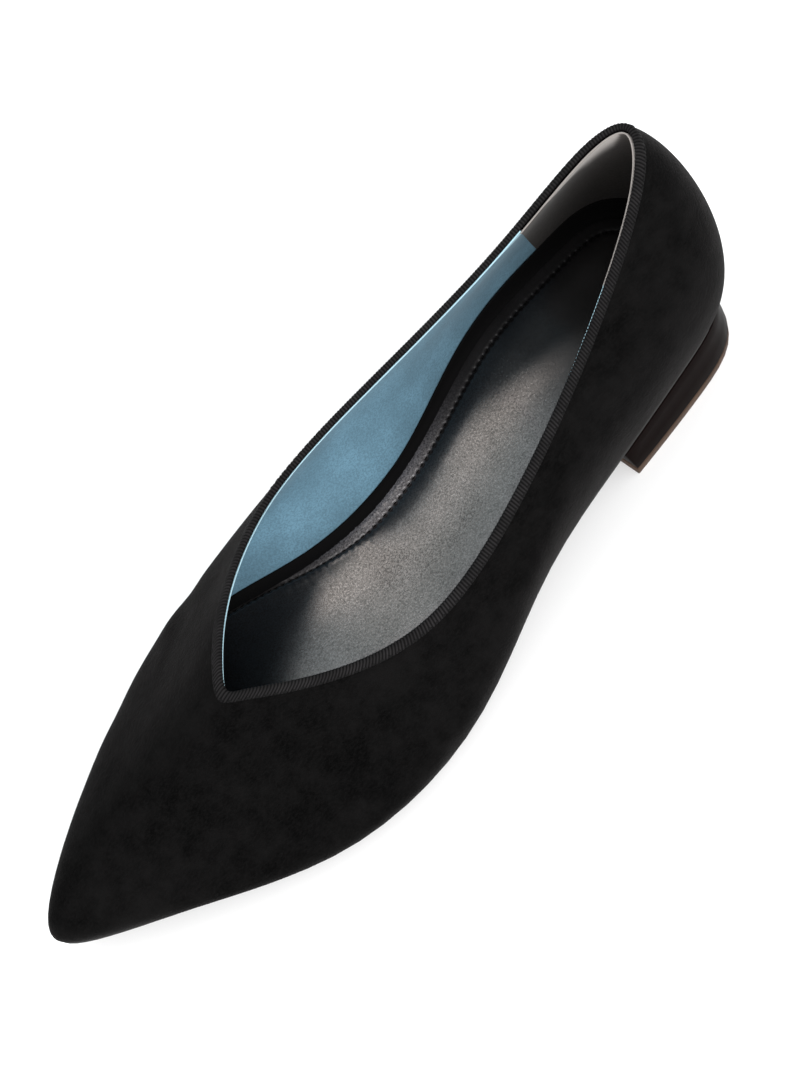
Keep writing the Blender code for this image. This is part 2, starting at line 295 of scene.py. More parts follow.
def around(rows, outer, inner, turn, sign=1.0):
    """Columns of a table round the shoe: heel at 0, outer side, toe at pi, inner side by a sign."""
    half = np.arccos(1.0 - 2.0 * rows["along"])
    knots = np.concatenate((half, TURN - half[-2:0:-1]))
    values = np.concatenate((rows[outer], sign * rows[inner][-2:0:-1]))
    return closed_spline(knots, values, np.mod(turn, TURN))


def share_along(turn):
    """Share of the length at a turn round the shoe."""
    return (1.0 - np.cos(turn)) / 2.0


def turn_at(x):
    """Turn on the outer side at a distance from the back of the sole."""
    return np.arccos(1.0 - 2.0 * np.clip(x / SOLE_LENGTH, 0.0, 1.0))


def unit(vectors):
    return vectors / np.linalg.norm(vectors, axis=-1, keepdims=True)


def ease(share):
    """Smooth step from 0 to 1."""
    t = np.clip(share, 0.0, 1.0)
    return t * t * (3.0 - 2.0 * t)


def ramp(x, start, full):
    """Smooth step from 0 at the start to 1 where it is full."""
    return ease((x - start) / (full - start))


def bell(x, middle, reach):
    """Smooth hump, 1 in the middle."""
    return np.exp(-(((x - middle) / reach) ** 2))


def feather_height(x):
    """Height of the feather line: heel seat, arch, flat forefoot and toe spring."""
    share = x / SOLE_LENGTH
    seat = (SEAT_HEIGHT - SOLE_TOP) * ramp(share, FLAT_BACK, ARCH_BACK)
    spring = np.clip((share - FLAT_FRONT) / (1.0 - FLAT_FRONT), 0.0, 1.0)
    return SOLE_TOP + seat + TOE_SPRING * spring**SPRING_POWER


def feather_plan(turn):
    """Feather line seen from above."""
    x = SOLE_LENGTH * share_along(turn)
    y = BALL_WIDTH * around(FEATHER, "outer", "inner", turn, -1.0)
    return np.stack((x, y), axis=-1)


def feather_outward(turn):
    """Direction out of the feather line, seen from above."""
    run = feather_plan(turn + TURN_STEP) - feather_plan(turn - TURN_STEP)
    return unit(np.stack((-run[..., 1], run[..., 0]), axis=-1))


def topline(turn):
    """Top edge of the upper, ahead of the feather line in the quarters."""
    share = share_along(turn)
    ahead = np.clip(share + COLUMN_SKEW * np.sin(math.pi * share) ** 2, 0.0, 1.0)
    half = np.arccos(1.0 - 2.0 * ahead)
    own = np.where(np.mod(turn, TURN) <= math.pi, half, TURN - half)
    x = COLLAR_SETBACK + (THROAT_REACH - COLLAR_SETBACK) * ahead
    y = BALL_WIDTH * around(TOPLINE, "outer", "inner", own, -1.0)
    z = BACK_HEIGHT * around(TOPLINE, "outer_height", "inner_height", own)
    return np.stack((x, y, z), axis=-1)


def wall_columns(turn):
    """Outer face of the upper: one fine curve from feather line to topline for each turn."""
    plan = feather_plan(turn)
    foot = np.column_stack((plan, feather_height(plan[:, 0])))
    top = topline(turn)
    height = np.linalg.norm(top - foot, axis=1)[:, None]
    flare = np.radians(around(SECTION, "outer_flare", "inner_flare", turn))[:, None]
    lean = np.radians(around(SECTION, "outer_lean", "inner_lean", turn))[:, None]
    low = around(SECTION, "low_pull", "low_pull", turn)[:, None] * height
    high = around(SECTION, "high_pull", "high_pull", turn)[:, None] * height
    outward = feather_outward(turn)
    vamp = ramp(share_along(turn), VAMP_START, VAMP_FULL)[:, None]
    heading = unit(unit((foot - top)[:, :2]) * vamp + outward * (1.0 - vamp))
    low_point = foot + low * np.hstack((outward * np.sin(flare), np.cos(flare)))
    high_point = top + high * np.hstack((heading * np.cos(lean), -np.sin(lean)))
    t = np.linspace(0.0, 1.0, FINE_STEPS + 1)[None, :, None]
    low_part = (1 - t) ** 3 * foot[:, None] + 3 * (1 - t) ** 2 * t * low_point[:, None]
    high_part = 3 * (1 - t) * t**2 * high_point[:, None] + t**3 * top[:, None]
    return low_part + high_part


def arc_lengths(columns):
    steps = np.linalg.norm(np.diff(columns, axis=1), axis=2)
    return np.concatenate((np.zeros((len(columns), 1)), np.cumsum(steps, axis=1)), axis=1)


def edge_stretch(columns):
    """Length along a column for each unit measured square to the topline."""
    top = columns[:, -1]
    lead = unit(top - columns[:, -3])
    edge = unit(np.roll(top, -1, axis=0) - np.roll(top, 1, axis=0))
    sine = np.linalg.norm(np.cross(lead, edge), axis=1)
    shifts = range(-EDGE_REACH, EDGE_REACH + 1)
    lowest = np.min([np.roll(sine, shift) for shift in shifts], axis=0)
    return 1.0 / np.mean([np.roll(lowest, shift) for shift in shifts], axis=0)


BASE_TURNS = np.linspace(0.0, TURN, BASE_COLUMNS, endpoint=False)
BASE_WALL = wall_columns(BASE_TURNS)
BASE_STRETCH = edge_stretch(BASE_WALL)
BOX_MIDDLE = (BASE_WALL.min(axis=(0, 1)) + BASE_WALL.max(axis=(0, 1))) / 2.0


def to_frame(points):
    """Millimetres from the heel to metres from the middle of the shoe."""
    moved = np.array(points, dtype=float)
    moved[..., :2] -= BOX_MIDDLE[:2]
    return moved * MM


class Skin:
    """The wall at a set of turns: points and normals by arc length from the feather line."""

    def __init__(self, turns):
        self.turns = np.asarray(turns, dtype=float)
        self.columns = wall_columns(self.turns)
        self.arcs = arc_lengths(self.columns)
        self.full = self.arcs[:, -1]
        self.stretch = np.interp(np.mod(self.turns, TURN), BASE_TURNS, BASE_STRETCH, period=TURN)
        ahead = wall_columns(self.turns + TURN_STEP)
        behind = wall_columns(self.turns - TURN_STEP)
        rise = np.gradient(self.columns, axis=1)
        self.normals = unit(np.cross(rise, ahead - behind))
        self.lead = unit(self.columns[:, -1] - self.columns[:, -2])

    def _read(self, field, arcs):
        found = np.empty(arcs.shape + (3,))
        for index, column in enumerate(field):
            for axis in range(3):
                found[index, :, axis] = np.interp(arcs[index], self.arcs[index], column[:, axis])
        return found

    def at(self, arcs, out=0.0):
        """Points at arc lengths, a distance out of the wall; past the topline they run on."""
        past = np.maximum(arcs - self.full[:, None], 0.0)
        points = self._read(self.columns, arcs) + self.lead[:, None] * past[..., None]
        return points + self.normals_at(arcs) * np.broadcast_to(out, arcs.shape)[..., None]

    def normals_at(self, arcs):
        return unit(self._read(self.normals, arcs))

    def below_top(self, drops):
        """Arc lengths that lie drops below the topline, measured square to it."""
        return self.full[:, None] - self.stretch[:, None] * np.asarray(drops)

    def drops(self, arcs):
        """Drops below the topline at arc lengths."""
        return (self.full[:, None] - arcs) / self.stretch[:, None]

    def above_foot(self, height):
        """Arc lengths where the wall stands a height over its own foot."""
        rises = self.columns[:, :, 2] - self.columns[:, :1, 2]
        return np.array([np.interp(h, r, a) for h, r, a in zip(height, rises, self.arcs)])


def run_along(points):
    """Distance along a line from its first point to each of its points."""
    return np.append(0.0, np.cumsum(np.linalg.norm(np.diff(points, axis=0), axis=1)))


def line_length(line):
    """Length of a line round the shoe."""
    return run_along(line(np.linspace(0.0, TURN, LINE_SAMPLES)))[-1]


def even_turns(line, count, start=0.0, stop=TURN):
    """Turns that cut a line round the shoe into steps of equal length."""
    turns = np.linspace(start, stop, LINE_SAMPLES)
    run = run_along(line(turns))
    return np.interp(np.linspace(0.0, run[-1], count), run, turns)


def select_only(piece):
    bpy.ops.object.select_all(action="DESELECT")
    piece.select_set(True)
    bpy.context.view_layer.objects.active = piece


def in_edit_mode(piece, *steps):
    """Runs edit-mode steps with the whole mesh selected."""
    select_only(piece)
    bpy.ops.object.mode_set(mode="EDIT")
    bpy.ops.mesh.select_all(action="SELECT")
    for step in steps:
        step()
    bpy.ops.object.mode_set(mode="OBJECT")


def close_seams():
    bpy.ops.mesh.remove_doubles(threshold=MERGE)


def join_flat_faces():
    bpy.ops.mesh.dissolve_limited(angle_limit=math.radians(FLAT_ANGLE))


def close_ends():
    bpy.ops.mesh.select_all(action="DESELECT")
    bpy.ops.mesh.select_non_manifold(extend=False)
    bpy.ops.mesh.fill()
    bpy.ops.mesh.select_all(action="SELECT")


def face_outwards():
    bpy.ops.mesh.normals_make_consistent(inside=False)


def round_edges(piece, width):
    """Bevels the sharp edges of a piece."""
    select_only(piece)
    bevel = piece.modifiers.new("rounding", "BEVEL")
    bevel.width = width
    bevel.segments = EDGE_STEPS
    bevel.limit_method = "ANGLE"
    bevel.angle_limit = math.radians(EDGE_ANGLE)
    bpy.ops.object.modifier_apply(modifier=bevel.name)


def laid_grid(name, points, ends_open=False, fields=None):
    """A grid primitive laid over columns and rows of points, its matching edges merged."""
    columns, rows = points.shape[:2]
    bpy.ops.mesh.primitive_grid_add(x_subdivisions=rows - 1, y_subdivisions=columns - 1)
    piece = bpy.context.object
    piece.name = name
    piece.data.name = name
    piece.data.vertices.foreach_set("co", to_frame(points).astype(np.float32).ravel())
    for field, values in (fields or {}).items():
        layer = piece.data.attributes.new(field, "FLOAT", "POINT")
        layer.data.foreach_set("value", np.asarray(values, dtype=np.float32).ravel())
    steps = [close_seams, close_ends, face_outwards] if ends_open else [close_seams, face_outwards]
    in_edit_mode(piece, *steps)
    piece.data.update()
    return piece


def wrapped(points):
    """The same columns with the first one repeated at the end."""
    return np.concatenate((points, points[:1]), axis=0)


def looped(points):
    """The same rows with the first one repeated at the end."""
    return np.concatenate((points, points[:, :1]), axis=1)


def up_and_down(rows):
    """Rows from foot to top, the top row once more, and down again."""
    return np.concatenate((rows, rows[:, -1:], rows[:, ::-1]), axis=1)


def copy_of(node, name):
    """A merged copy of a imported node, free to be shaped."""
    select_only(frame["nodes"][node])
    bpy.ops.object.duplicate(linked=False)
    piece = bpy.context.object
    piece.name = name
    piece.data.name = name
    piece.parent = None
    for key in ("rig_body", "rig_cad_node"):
        del piece[key]
    in_edit_mode(piece, close_seams, join_flat_faces, face_outwards)
    return piece


def scattered(name, base, places):
    """Copies of one small piece at places, joined as one piece."""
    copies = []
    for place in places:
        copy = base.copy()
        copy.data = base.data.copy()
        copy.data.transform(Matrix(place))
        bpy.context.scene.collection.objects.link(copy)
        copies.append(copy)
    bpy.data.objects.remove(base, do_unlink=True)
    select_only(copies[0])
    for copy in copies:
        copy.select_set(True)
    bpy.ops.object.join()
    copies[0].name = name
    copies[0].data.name = name
    return copies[0]


def stitch_base(pitch, shares):
    """One stitch along X: length as a share of the pitch, width and height of the thread."""
    bpy.ops.mesh.primitive_uv_sphere_add(segments=STITCH_FACES, ring_count=STITCH_FACES, radius=0.5)
    base = bpy.context.object
    turn = {"value": TURN / 4.0, "orient_axis": "Y", "center_override": (0.0, 0.0, 0.0)}
    size = np.array((pitch, sizes().thread, sizes().thread)) * shares
    in_edit_mode(
        base,
        lambda: bpy.ops.transform.rotate(**turn),
        lambda: bpy.ops.transform.resize(value=size),
    )
    return base


def stitch_places(points, alongs, ups):
    """Frames for stitches at points in millimetres, along a line and up out of a face."""
    places = []
    for point, along, up in zip(to_frame(points), unit(alongs), unit(ups)):
        across = unit(np.cross(up, along))
        place = np.eye(4)
        place[:3, :3] = np.column_stack((along, across, np.cross(along, across)))
        place[:3, 3] = point
        places.append(place)
    return places


class Wire:
    """A value in a material: arithmetic on it adds Math nodes to the tree."""

    def __init__(self, finish, socket):
        self.finish = finish
        self.socket = socket

    def _math(self, operation, first, second):
        return self.finish.node("ShaderNodeMath", {"operation": operation}, {0: first, 1: second})

    def __add__(self, other):
        return self._math("ADD", self, other)

    def __sub__(self, other):
        return self._math("SUBTRACT", self, other)

    def __rsub__(self, other):
        return self._math("SUBTRACT", other, self)

    def __mul__(self, other):
        return self._math("MULTIPLY", self, other)

    __radd__ = __add__
    __rmul__ = __mul__


class Finish:
    """A material under construction, with one method that adds any node."""

    def __init__(self, name):
        self.material = bpy.data.materials.new(name)
        self.material.use_nodes = True
        self.tree = self.material.node_tree
        self.shader = self.tree.nodes["Principled BSDF"]

    def node(self, kind, settings=None, sockets=None, output=0):
        made = self.tree.nodes.new(kind)
        for key, value in (settings or {}).items():
            setattr(made, key, value)
        for key, value in (sockets or {}).items():
            self.feed(made.inputs[key], value)
        return Wire(self, made.outputs[output])

    def feed(self, socket, value):
        if isinstance(value, Wire):
            self.tree.links.new(value.socket, socket)
        else:
            socket.default_value = value

    def finished(self, **sockets):
        """The material, with values or wires on the sockets of its shader."""
        for key, value in sockets.items():
            self.feed(self.shader.inputs[key.replace("_", " ")], value)
        return self.material

    def place(self, stretch=(1.0, 1.0, 1.0)):
        """Object coordinates in metres, stretched along the axes."""
        coordinates = self.node("ShaderNodeTexCoord", output="Object")
        return self.node("ShaderNodeMapping", {}, {"Vector": coordinates, "Scale": stretch})

    def noise(self, size_mm, detail=2.0, roughness=0.5, stretch=(1.0, 1.0, 1.0)):
        """Noise from 0 to 1 whose blobs are about size_mm across."""
        sockets = {
            "Vector": self.place(stretch),
            "Scale": 1.0 / (size_mm * MM),
            "Detail": detail,
            "Roughness": roughness,
        }
        return self.node("ShaderNodeTexNoise", {}, sockets, "Fac")

    def cells(self, size_mm):
        """Distance to the nearest cell middle, for pebbled grain."""
        sockets = {"Vector": self.place(), "Scale": 1.0 / (size_mm * MM)}
        return self.node("ShaderNodeTexVoronoi", {}, sockets, "Distance")

    def spread(self, value, low, high):
        """A value stretched so that low gives 0 and high gives 1."""
        sockets = {"Value": value, "From Min": low, "From Max": high}
        return self.node("ShaderNodeMapRange", {}, sockets)

    def mix(self, share, first, second, blend="MIX"):
        """Colour between two colours or colour wires."""
        sockets = {0: share, 6: first, 7: second}
        return self.node("ShaderNodeMix", {"data_type": "RGBA", "blend_type": blend}, sockets, 2)

    def tones(self, share, colour, first, second):
        """Colour between two tones of one colour."""
        return self.mix(share, shade(colour, first), shade(colour, second))

    def bump(self, height, depth_mm, strength, below=None):
        sockets = {"Height": height, "Distance": depth_mm * MM, "Strength": strength}
        if below is not None:
            sockets["Normal"] = below
        return self.node("ShaderNodeBump", {}, sockets)

    def attribute(self, name):
        return self.node("ShaderNodeAttribute", {"attribute_name": name}, {}, "Fac")


def shade(colour, factor):
    """A colour made lighter or darker, with full alpha."""
    return tuple(min(1.0, channel * factor) for channel in colour[:3]) + (1.0,)


def suede_finish(colour):
    """Short brushed nap: dark, dull, a little lighter where the fibres turn."""
    finish = Finish("black_suede")
    strokes = finish.noise(20.0, detail=3.0, roughness=0.6, stretch=(0.6, 1.0, 1.0))
    patches = finish.noise(6.0, detail=4.0, roughness=0.65)
    fibre = finish.noise(0.6, detail=3.0, roughness=0.75, stretch=(0.5, 1.0, 1.0))
    turned = finish.spread(strokes * 0.5 + patches * 0.5, 0.40, 0.62)
    base = finish.tones(turned, colour, 0.3, 2.2)
    speck = finish.spread(fibre, 0.42, 0.70)
    brushed = finish.bump(patches, 0.6, strength=0.5)
    return finish.finished(
        Base_Color=finish.mix(speck * 0.6, base, shade(colour, 2.8)),
        Roughness=0.86 + fibre * 0.12,
        Normal=finish.bump(fibre, 0.24, strength=0.9, below=brushed),
        Specular_IOR_Level=0.04,
        Sheen_Weight=0.045,
        Sheen_Roughness=0.32,
        Sheen_Tint=(0.95, 0.90, 0.90, 1.0),
    )


def ribbon_finish(colour):
    """Matte ribbon of fine threads, with a painted highlight on the crests of its ribs and painted shade
    in the valleys.
    """
    finish = Finish("ribbed_ribbon")
    threads = finish.noise(0.22, roughness=0.6)
    wear_and_painted_highlight = finish.spread(finish.noise(7.0), 0.35, 0.7)
    # Painted highlight: the crests get paler tones of the ribbon's colour, patchy at random
    crest = finish.tones(wear_and_painted_highlight, colour, 3.6, 6.0)
    return finish.finished(
        # Painted shade in the valleys and on the plain inner rows, painted highlight on the crests
        Base_Color=finish.mix(finish.attribute("rib"), shade(colour, 0.15), crest),
        Roughness=0.6 + threads * 0.2,
        Normal=finish.bump(threads, 0.06, strength=0.7),
        Specular_IOR_Level=0.06,
    )


def lining_finish(name, colour, edge_and_painted_light_colour, painted_shade_tone):
    """Soft micro-grained lining, paler at the top by its folded edge and a painted pool of light, and
    darker at the foot by painted shade.
    """
    finish = Finish(name)
    grain = finish.cells(0.8)
    fuzz = finish.noise(0.6, detail=3.0, roughness=0.7)
    cloud = finish.spread(finish.noise(14.0, detail=4.0, roughness=0.6), 0.3, 0.7)
    speck = finish.spread(fuzz, 0.40, 0.62)
    body = finish.tones(cloud, colour, 0.82, 1.18)
    body = finish.mix(speck * 0.6, body, shade(colour, 0.55))
    # Painted shade: the lining darkens towards its foot
    body = finish.mix(finish.attribute("foot"), body, shade((1.0, 1.0, 1.0), painted_shade_tone), "MULTIPLY")
    fuzzed = finish.bump(fuzz, 0.08, strength=0.6)
    return finish.finished(
        # Pale folded edge, and at the back of the heel a painted pool of light
        Base_Color=finish.mix(finish.attribute("fold_and_painted_light"), body, edge_and_painted_light_colour),
        Roughness=0.70 + fuzz * 0.18,
        Normal=finish.bump(grain, 0.06, strength=0.6, below=fuzzed),
        Specular_IOR_Level=0.3,
        Sheen_Weight=0.08,
        Sheen_Roughness=0.5,
    )


def sock_finish(colour):
    """Smooth fine-grained sock with a clear gloss, soft dents and a duller flange that carries a painted
    highlight round the waist.
    """
    finish = Finish("sock_leather")
    # The flange attribute is the mask of a painted highlight round the waist
    flange = finish.attribute("flange")
    gloss = finish.attribute("gloss")
    grain = finish.cells(0.75)
    pores = finish.noise(0.5, detail=3.0, roughness=0.75)
    rubbed = finish.spread(finish.noise(15.0), 0.3, 0.7)
    dented = finish.bump(finish.noise(24.0, roughness=0.4), 0.7, strength=0.3)
    grained = finish.bump(grain * (1.0 + flange * 2.0), 0.04, strength=0.6, below=dented)
    base = finish.tones(rubbed, colour, 0.8, 1.3)
    clear = finish.spread(pores, 0.34, 0.66) * 0.7 + rubbed * 0.2 + 0.1
    highlight_mottle = finish.spread(pores, 0.36, 0.64)
    # Painted highlight on the flange: much lighter tones of the sock's colour, mottled at random
    flange_painted_highlight = finish.tones(highlight_mottle, colour, 4.0, 26.0)
    return finish.finished(
        Base_Color=finish.mix(flange, base, flange_painted_highlight),
        Roughness=0.24 + pores * 0.04 + (1.0 - gloss) * 0.5,
        Normal=finish.bump(pores, 0.03, strength=0.6, below=grained),
        Specular_IOR_Level=0.10,
        Coat_Weight=clear * gloss,
        Coat_Roughness=0.22,
        Coat_IOR=1.6,
    )


def cove_finish(colour):
    """Dull black strip between the sock and the lining, darkened below the sock's colour as painted
    shade.
    """
    finish = Finish("sock_rim_cloth")
    weave = finish.noise(0.5, roughness=0.6)
    return finish.finished(
        # Painted shade: a quarter to a half of the sock's colour
        Base_Color=finish.tones(weave, colour, 0.25, 0.55),
        Roughness=0.8 + weave * 0.1,
        Normal=finish.bump(weave, 0.05, strength=0.5),
        Specular_IOR_Level=0.08,
    )


def thread_finish(colour):
    """Dull black sewing thread."""
    finish = Finish("sewing_thread")
    twist = finish.noise(0.18, detail=1.0)
    return finish.finished(
        Base_Color=finish.tones(twist, colour, 0.7, 1.4),
        Roughness=0.62 + twist * 0.2,
        Normal=finish.bump(twist, 0.04, strength=0.6),
        Specular_IOR_Level=0.12,
    )


def rubber_finish(name, colour, grain_mm):
    """Dull rubber with a fine moulded grain and light scuffs."""
    finish = Finish(name)
    grain = finish.noise(grain_mm, detail=3.0, roughness=0.6)
    scuff = finish.spread(finish.noise(14.0, detail=4.0, roughness=0.65), 0.45, 0.75)
    return finish.finished(
        Base_Color=finish.mix(scuff, colour, shade(colour, 1.7)),
        Roughness=0.50 + scuff * 0.14 + grain * 0.08,
        Normal=finish.bump(grain, 0.05, strength=0.5),
        Specular_IOR_Level=0.16,
    )


def lacquer_finish(colour):
    """Satin heel cover with faint long streaks."""
    finish = Finish("heel_lacquer")
    streaks = finish.noise(2.2, detail=3.0, roughness=0.55, stretch=(1.0, 1.0, 0.12))
    ripple = finish.noise(6.0)
    return finish.finished(
        Base_Color=finish.tones(streaks, colour, 0.8, 1.3),
        Roughness=0.30 + ripple * 0.08,
        Normal=finish.bump(ripple, 0.05, strength=0.25),
        Specular_IOR_Level=0.006,
    )


def floor_finish(colour):
    """Plain pale floor with a faint change of tone."""
    finish = Finish("pale_floor")
    tone = finish.noise(180.0)
    return finish.finished(
        Base_Color=finish.mix(tone, shade(colour, 0.985), colour),
        Roughness=0.6 + tone * 0.1,
        Specular_IOR_Level=0.2,
    )


def dress(piece, smooth_angle, material, slot, *nodes):
    """Smooths a piece, gives it its finish and its body, and hides the solids it stands for. The slot is
    not used.
    """
    select_only(piece)
    bpy.ops.object.shade_smooth_by_angle(angle=math.radians(smooth_angle))
    piece.data.materials.clear()
    piece.data.materials.append(material)
    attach(piece, "root")
    if nodes:
        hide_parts(*nodes)


def length_prop(name, description, millimetres):
    return bpy.props.FloatProperty(
        name=name,
        description=description,
        default=millimetres * MM,
        min=0.0,
        precision=5,
        unit="LENGTH",
    )


def colour_prop(name, description, colour):
    return bpy.props.FloatVectorProperty(
        name=name,
        description=description,
        default=(*colour, 1.0),
        size=4,
        min=0.0,
        max=1.0,
        subtype="COLOR",
    )


class FlatSizes(bpy.types.PropertyGroup):
    """Sizes of the details that the solids leave out."""

    rib_pitch: length_prop("Rib pitch", "Distance between the ribs of the binding", 0.95)
    rib_depth: length_prop("Rib depth", "Height of the ribs of the binding", 0.16)
    lining_thickness: length_prop("Lining", "Thickness of the linings", 0.4)
    sock_pitch: length_prop("Sock stitch pitch", "Distance between the stitches of the sock", 2.25)
    edge_pitch: length_prop("Edge stitch pitch", "Distance between the stitches of the binding", 2.4)
    thread: length_prop("Thread", "Width of the sewing thread", 0.40)
    sole_edge: length_prop("Sole edge", "Rounding of the edges of sole and heel", 0.5)


class FlatColours(bpy.types.PropertyGroup):
    """Colours of the finishes."""

    suede: colour_prop("Suede", "Nap of the upper", (0.0017, 0.0016, 0.0016))
    ribbon: colour_prop("Ribbon", "Binding of the topline", (0.0030, 0.0028, 0.0029))
    lining: colour_prop("Lining", "Lining of vamp and quarters", (0.130, 0.254, 0.338))
    lining_edge: colour_prop("Lining edge", "Folded edge of the lining", (0.46, 0.70, 0.80))
    heel_lining: colour_prop("Heel lining", "Lining round the heel", (0.098, 0.080, 0.070))
    # Colour of the pale folded edge and of the painted pool of light at the top of the heel lining
    heel_edge_and_painted_light: colour_prop("Heel lining edge", "Pale top of the heel lining", (0.52, 0.48, 0.455))
    sock: colour_prop("Sock", "Top of the insole", (0.0060, 0.0054, 0.0056))
    thread: colour_prop("Thread", "Sewing thread", (0.0010, 0.0009, 0.0009))
    sole: colour_prop("Sole", "Outsole", (0.0070, 0.0064, 0.0062))
    heel: colour_prop("Heel", "Heel cover", (0.0034, 0.0018, 0.0016))
    lift: colour_prop("Top lift", "Wear layer under the heel", (0.050, 0.030, 0.020))
    floor: colour_prop("Floor", "Floor under the shoe", (0.94, 0.94, 0.94))


def sizes():
    return bpy.context.scene.flat_sizes


def colours():
    return bpy.context.scene.flat_colours


# Columns and rows of the grids of upper, ribbon and linings
UPPER_COLUMNS = 384
UPPER_ROWS = 44
UPPER_CROWDING = 1.25
INNER_ROWS = 10
RIB_SAMPLES = 6
LINING_ROWS = 26
VAMP_COLUMNS = 340
HEEL_COLUMNS = 120

# Faces that meet under these angles, in degrees, are shaded as one
SUEDE_SMOOTH = 55.0
RIBBON_SMOOTH = 70.0
SOFT_SMOOTH = 60.0
SOLE_SMOOTH = 35.0

# Ribbon: drop at which the suede ends under it, and depth of its middle in the wall
RIBBON_FOOT = 2.3
RIBBON_CORE = WALL / 3.0

# Linings: foot over the feather line, rise and hold of the pale top, and ends along the shoe,
# whose leans are shares of the turns at foot and top; then tones of foot and top edge
LINING_FOOT = 2.5
FOLD_CROWN = 0.22
# Hold of the pale top: the folded edge, and at the back of the heel a painted pool of light
FOLD_AND_PAINTED_LIGHT_HOLD = 1.6
VAMP_LINING_X = 24.5
VAMP_LINING_LEAN = (1.0, 0.918)
HEEL_SEAM_X = 43.0
HEEL_LINING_LEAN = (0.80, 1.0)
HEEL_LINING_LIFT = 0.42
# Painted shade on the linings: how far it spreads up from the foot and how dark it gets
PAINTED_SHADE_SPREAD = 0.5
BLUE_PAINTED_SHADE_TONE = 0.9
HEEL_PAINTED_SHADE_TONE = 0.10
BLUE_EDGE_TONE = 1.0
HEEL_EDGE_TONE = 0.55

# Sock seen from above: middle line, under side, toe, and flange that narrows to the front
SOCK_COLUMNS = 1800
SOCK_ROOM = 15.0
SOCK_AXIS = (34.0, 240.0)
SOCK_UNDER_INSET = 2.7
SOCK_LIFT = 0.2
TOE_DRAW = 2.6
TOE_ENDS = (0.90, 1.0)
FLANGE_DRAW = 3.0
FLANGE_EDGES = (3.4, 6.5)
FLANGE_NARROWS = (118.0, 155.0)

# Sock from the side: where heel cup and lip begin and are full, middle and reach of the hollow
# at the arch, and the rim, which meets the sock at one of its rows
CUP_RISES = (105.0, 40.0)
LIP_RISES = (112.0, 136.0)
LIP_FALLS = (195.0, 225.0)
ARCH_HOLLOW = (108.0, 20.0)
RIM_FRONT = 6.2
RIM_CUP = 6.6
RIM_GAP = 0.14
RIM_ROW = 2
RIM_THINNING = 3

# Sock close up: stitched groove, wrinkles that are strongest round the waist, and gloss, whose hump on
# the flange also sets a painted highlight there
GROOVE_INSET = 6.8
GROOVE_SINK = 0.34
PIT_DEPTH = 0.75
STITCH_FRONT = 222.0
WAIST = (115.0, 50.0)
RIPPLE_REST = 0.45
RIPPLE_DRIFT = 7.0
FLANGE_GLOSS = 0.9
FLANGE_GLOSS_AND_PAINTED_HIGHLIGHT = (112.0, 24.0)
SEAT_DULL = 0.5
SEAT_DULLS = (75.0, 30.0)

# Stitches: length as a share of the pitch, width and height as shares of the thread
SOCK_STITCH = (0.72, 1.0, 0.8)
EDGE_STITCH = (0.5, 1.7, 0.4)
EDGE_STITCH_DROP = 1.95
EDGE_STITCH_OUT = 0.34
STITCH_FACES = 8

# Sole and heel: rounding of the edges, sharper on the top lift, and grain of the rubber
EDGE_STEPS = 3
EDGE_ANGLE = 40.0
LIFT_EDGE = 0.7
SOLE_GRAIN = 0.5
LIFT_GRAIN = 0.4


def outer_side(turns):
    """True on the outer side of the shoe."""
    return (np.mod(turns, TURN) < math.pi)[:, None]


def crease_depth(skin, arcs):
    """How far the listed troughs and ridges push the suede in."""
    x = skin.at(arcs)[..., 0]
    side = np.where(outer_side(skin.turns), 1.0, -1.0)
    total = np.zeros_like(arcs)
    for wall, x_low, h_low, x_high, h_high, width, depth in zip(*CREASES.values()):
        run = np.array((x_high - x_low, h_high - h_low))
        share = ((x - x_low) * run[0] + (arcs - h_low) * run[1]) / (run @ run)
        held = np.clip(share, 0.0, 1.0)
        away = np.hypot(x - x_low - held * run[0], arcs - h_low - held * run[1])
        total += depth * bell(away, 0.0, width) * (side == wall)
    return total


def sock_inset(turns, inset):
    """Point of the sock seen from above, drawn in less where the toe narrows."""
    plan = feather_plan(turns)
    across = np.abs(plan[:, 1] - feather_plan(TURN - turns)[:, 1]) / 2.0
    ahead = share_along(turns) > 0.5
    room = np.where(ahead, np.clip(across / SOCK_ROOM, 0.0, 1.0), 1.0)
    narrowed = FLANGE_DRAW * ramp(plan[:, 0], *FLANGE_NARROWS)
    drawn = inset - narrowed * np.interp(inset, FLANGE_EDGES, (0.0, 1.0))
    plan = plan - (drawn * room)[:, None] * feather_outward(turns)
    plan[:, 0] -= TOE_DRAW * ramp(share_along(turns), *TOE_ENDS)
    return plan


def sock_cup(x):
    """Share of the heel cup's added height at a distance from the heel."""
    return ramp(x, *CUP_RISES)


def sock_height(x, height, cup, lip, arch):
    """Height of the sock with its heel cup, lip under the ball and hollow at the arch."""
    ball = ramp(x, *LIP_RISES) * (1.0 - ramp(x, *LIP_FALLS))
    hollow = arch * bell(x, *ARCH_HOLLOW)
    return feather_height(x) + height + cup * sock_cup(x) + lip * ball - hollow


def groove_line(turns):
    """Line of the sock's stitches, low in its groove."""
    plan = sock_inset(turns, GROOVE_INSET)
    columns = ("height", "cup", "lip", "arch")
    row = [np.interp(GROOVE_INSET, SOCK["inset"], SOCK[name]) for name in columns]
    return np.column_stack((plan, sock_height(plan[:, 0], *row) - GROOVE_SINK))


